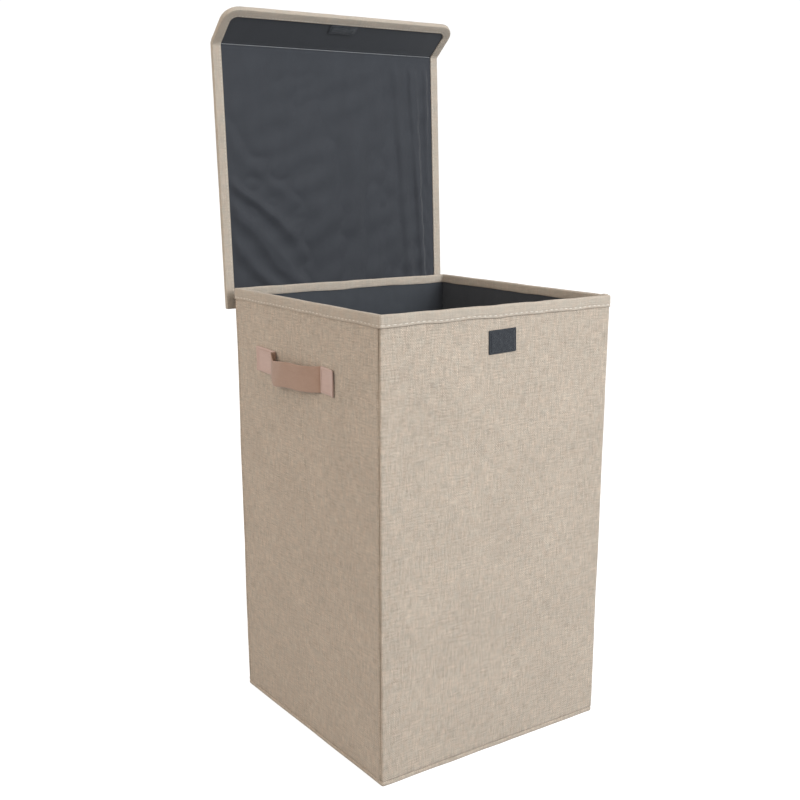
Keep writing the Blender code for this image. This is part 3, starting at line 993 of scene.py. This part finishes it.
def strap_piece(name, sign, along, lift, drop, material, seed):
    """A length of strap: along is its places in Y, lift its stand-off and drop how low it hangs."""
    share = np.array([0, 0.3, 0.6, 0.85, 0.94, 0.985, 1])
    share = np.concatenate([-share[:0:-1], share])
    edge = np.array([0.0009, 0.0004, 0.00005, 0, 0.0001, 0.0002, 0.0002])
    edge = np.concatenate([edge, edge[-2::-1]])
    flat = np.stack(np.meshgrid(along, STRAP_MIDDLE + share * STRAP_WIDTH / 2), axis=-1)
    spot = level(flat[..., 0], flat[..., 1])
    out = STRAP_FACE + STRAP_THICK + lift[None, :] - edge[:, None]
    out = out + 0.00022 * ripples(spot, 0.024, seed)
    wave = 0.0006 * ripples(spot * np.array([1, 0, 1]), 0.05, seed + 1)
    height = flat[..., 1] + strap_slope(along) - drop + wave
    grid = np.stack([sign * out, flat[..., 0], height], axis=-1)
    middle_point = (len(share) // 2, len(along) // 2)
    return cloth(name, grid, (sign, 0, 0), STRAP_THICK, material, flat + seed, middle_point)


def add_strap(side, sign):
    """The two loose halves of the strap, each riding on the rear or front part of its side."""
    path, lift, drop = strap_path()
    cut = int(np.argmin(np.abs(path)))
    for place, part in (("rear", slice(0, cut + 1)), ("front", slice(cut, None))):
        body = f"{side}_{place}"
        shape = (path[part], lift[part], drop[part])
        half = strap_piece(f"{side}_strap_{place}", sign, *shape, SUEDE, 81)
        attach(half, body)
        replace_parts(half, f"{side}_handle_strap")
        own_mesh(half)


def add_handle(side, sign):
    """The strap's two ends, sewn on the wall, and the loose length between them."""
    ends = (("rear", STRAP_REAR, STRAP_START), ("front", STRAP_FINISH, STRAP_FRONT))
    for place, start, end in ends:
        along = np.linspace(start, end, 14)
        edge = STRAP_REAR if place == "rear" else STRAP_FRONT
        lift = 0.0012 * near(along, edge, 0.003)
        piece = strap_piece(f"{side}_strap_{place}_end", sign, along, lift, 0.0, SUEDE_END, 91)
        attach(piece, f"{side}_{place}")
        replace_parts(piece, f"{side}_handle_{place}_end")
        size = (abs(end - start), STRAP_WIDTH)
        box = border(*size, 0.001, 0.0030)
        y = (start + end) / 2 + box[:, 0]
        x = np.full(len(y), sign * (STRAP_FACE + STRAP_THICK + 0.0002))
        line = np.stack([x, y, STRAP_MIDDLE + box[:, 1] + strap_slope(y)], axis=-1)
        aim = np.broadcast_to([float(sign), 0, 0], line.shape)
        row = stitches(f"{side}_strap_{place}_stitches", line, aim, SUEDE_THREAD, STRAP_STITCH)
        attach(row, f"{side}_{place}")
    add_strap(side, sign)


# --- Bottom and base ---


def flat_cloth(name, starts, ends, z, up, thick, material, seed, height=0.0):
    """A level cloth that faces up (1) or down (-1), with soft waves of that height in it."""
    x, y = (np.linspace(starts[k], ends[k], 90) for k in (0, 1))
    grid = level(*np.meshgrid(x, y))
    uv = grid[..., :2] + seed
    insets = []
    for k, line in enumerate((x, y)):
        middle = (line[0] + line[-1]) / 2
        insets.append(line[-1] - np.abs(grid[..., k] - middle) - middle)
    waves = height * np.abs(ripples(grid, 0.07, seed))
    grid[..., 2] = z + up * (waves * smooth(np.minimum(*insets), 0.0, 0.02))
    return cloth(name, grid, (0, 0, up), thick, material, uv)


def add_base():
    """The lining on the loose base board, and the cloth under it."""
    box_low, box_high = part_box("base_lining")
    piece = flat_cloth("base_top_lining", box_low, box_high, box_high.z, 1, LINING, DARK, 3, 0.0001)
    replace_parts(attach(piece, "base"), "base_lining")
    box_low, box_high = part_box("base_underside")
    under = flat_cloth("base_under_cloth", box_low, box_high, box_low.z, -1, LINING, FELT, 4)
    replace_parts(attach(under, "base"), "base_underside")


def add_bottom():
    """The sewn bottom cloth and the soft welt round it, both riding on the back."""
    reach = OUT - 0.0012
    corners = (-reach, -reach), (reach, reach)
    floor = flat_cloth("bottom_cloth", *corners, 0.0002, -1, 0.0006, FELT, 6)
    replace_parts(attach(floor, "back"), "bottom_fabric")
    way = [(0, OUT), (-OUT, OUT), (-OUT, -OUT), (OUT, -OUT), (OUT, OUT), (0, OUT)]
    route = Route(way, [0.0030] * 4, -1, 0.0040, ROUTE_REACH)
    section = (
        (-0.0016, 0.0004),
        (-0.0006, 0.0001),
        (0.0, 0.0011),
        (0.0001, 0.0030),
        (-0.0001, 0.0047),
        (-0.0010, 0.0057),
        (-0.0022, 0.0058),
    )
    grid, aims, uv = swept(route, section)
    flat = grid * np.array([1, 1, 0])
    grid = grid + aims * (0.00025 * ripples(flat, 0.05, 15))[..., None]
    welt = cloth("bottom_welt_cloth", grid, (0, 0, -1), 0.0006, LINEN, uv + 3.0)
    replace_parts(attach(welt, "back"), "bottom_welt")
    for piece in (floor, welt):
        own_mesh(piece)


# --- Boards, light and camera ---


def paint_boards():
    """The boards are bare pressed paper, and the base board, whose edge shows, is blackened."""
    for name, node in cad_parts.items():
        if name.endswith("_board"):
            node.data.materials.clear()
            node.data.materials.append(BASE_EDGE if name == "base_board" else BOARD)


def add_floor():
    """A pale floor that glows for the camera only, so that it stays even to the horizon."""
    signs = ((-1, -1, 0), (1, -1, 0), (1, 1, 0), (-1, 1, 0))
    corners = FLOOR_SIZE * np.array(signs, float)
    shade = Shade("studio_floor", 0.9)
    place = shade.node("ShaderNodeTexCoord").outputs["Object"]
    grain = shade.noise(place, 40, 2)
    tone = shade.span(grain, 0.995, 1.005)
    seen = shade.node("ShaderNodeLightPath").outputs["Is Camera Ray"]
    shade.link((0.90, 0.90, 0.90), shade.shader.inputs["Emission Color"])
    shade.link(shade.times(seen, FLOOR_GLOW), shade.shader.inputs["Emission Strength"])
    material = shade.finish(shade.scaled(FLOOR_GREY, tone), grain, 0.0001, 0.1)
    new_object("studio_floor", corners, [[0, 1, 2, 3]], material)


def add_world():
    """A world that is white to the camera, and a softer light to everything else."""
    world = bpy.data.worlds.new("studio")
    bpy.context.scene.world = world
    world.use_nodes = True
    tree = world.node_tree
    tree.nodes.clear()
    seen = tree.nodes.new("ShaderNodeBackground")
    seen.inputs["Color"].default_value = (1, 1, 1, 1)
    seen.inputs["Strength"].default_value = WHITE_SEEN
    light = tree.nodes.new("ShaderNodeBackground")
    light.inputs["Color"].default_value = WORLD_COLOUR
    light.inputs["Strength"].default_value = WORLD_LIGHT
    path = tree.nodes.new("ShaderNodeLightPath")
    mix = tree.nodes.new("ShaderNodeMixShader")
    out = tree.nodes.new("ShaderNodeOutputWorld")
    tree.links.new(path.outputs["Is Camera Ray"], mix.inputs[0])
    tree.links.new(light.outputs[0], mix.inputs[1])
    tree.links.new(seen.outputs[0], mix.inputs[2])
    tree.links.new(mix.outputs[0], out.inputs[0])


def add_light(name, place, towards, power, colour):
    light = bpy.data.lights.new(name, "AREA")
    light.shape = "SQUARE"
    light.size = LAMP_SIZE
    light.energy = power
    light.color = colour
    lamp = bpy.data.objects.new(name, light)
    bpy.context.scene.collection.objects.link(lamp)
    lamp.location = place
    aim = np.array(towards, float) - np.array(place, float)
    flat = math.hypot(aim[0], aim[1])
    lamp.rotation_euler = (math.atan2(flat, -aim[2]), 0, math.atan2(-aim[0], aim[1]))


def add_camera():
    data = bpy.data.cameras.new("camera")
    data.sensor_width = 36.0
    data.lens = CAMERA_LENS
    data.shift_x, data.shift_y = CAMERA_SHIFT
    camera = bpy.data.objects.new("camera", data)
    bpy.context.scene.collection.objects.link(camera)
    camera.location = CAMERA_PLACE
    camera.rotation_euler = (CAMERA_PITCH, 0, CAMERA_HEADING)
    bpy.context.scene.camera = camera


dress_walls()
add_lid_lining()
add_lid_cover()
add_lid_tape()
add_loop_patch()
add_hook_patch()
add_hinge_tape()
add_handle("left", -1)
add_handle("right", 1)
add_base()
add_bottom()
paint_boards()
add_floor()
add_world()
add_light("key", (0.9, -2.6, 1.9), (0, 0, 0.35), 84, (0.85, 0.92, 0.99))
add_light("left_fill", (-2.6, 0.4, 1.3), (0, 0, 0.3), 22, (1.0, 0.89, 0.79))
add_camera()
bpy.context.scene.view_settings.view_transform = "Standard"

bpy.context.view_layer.update()
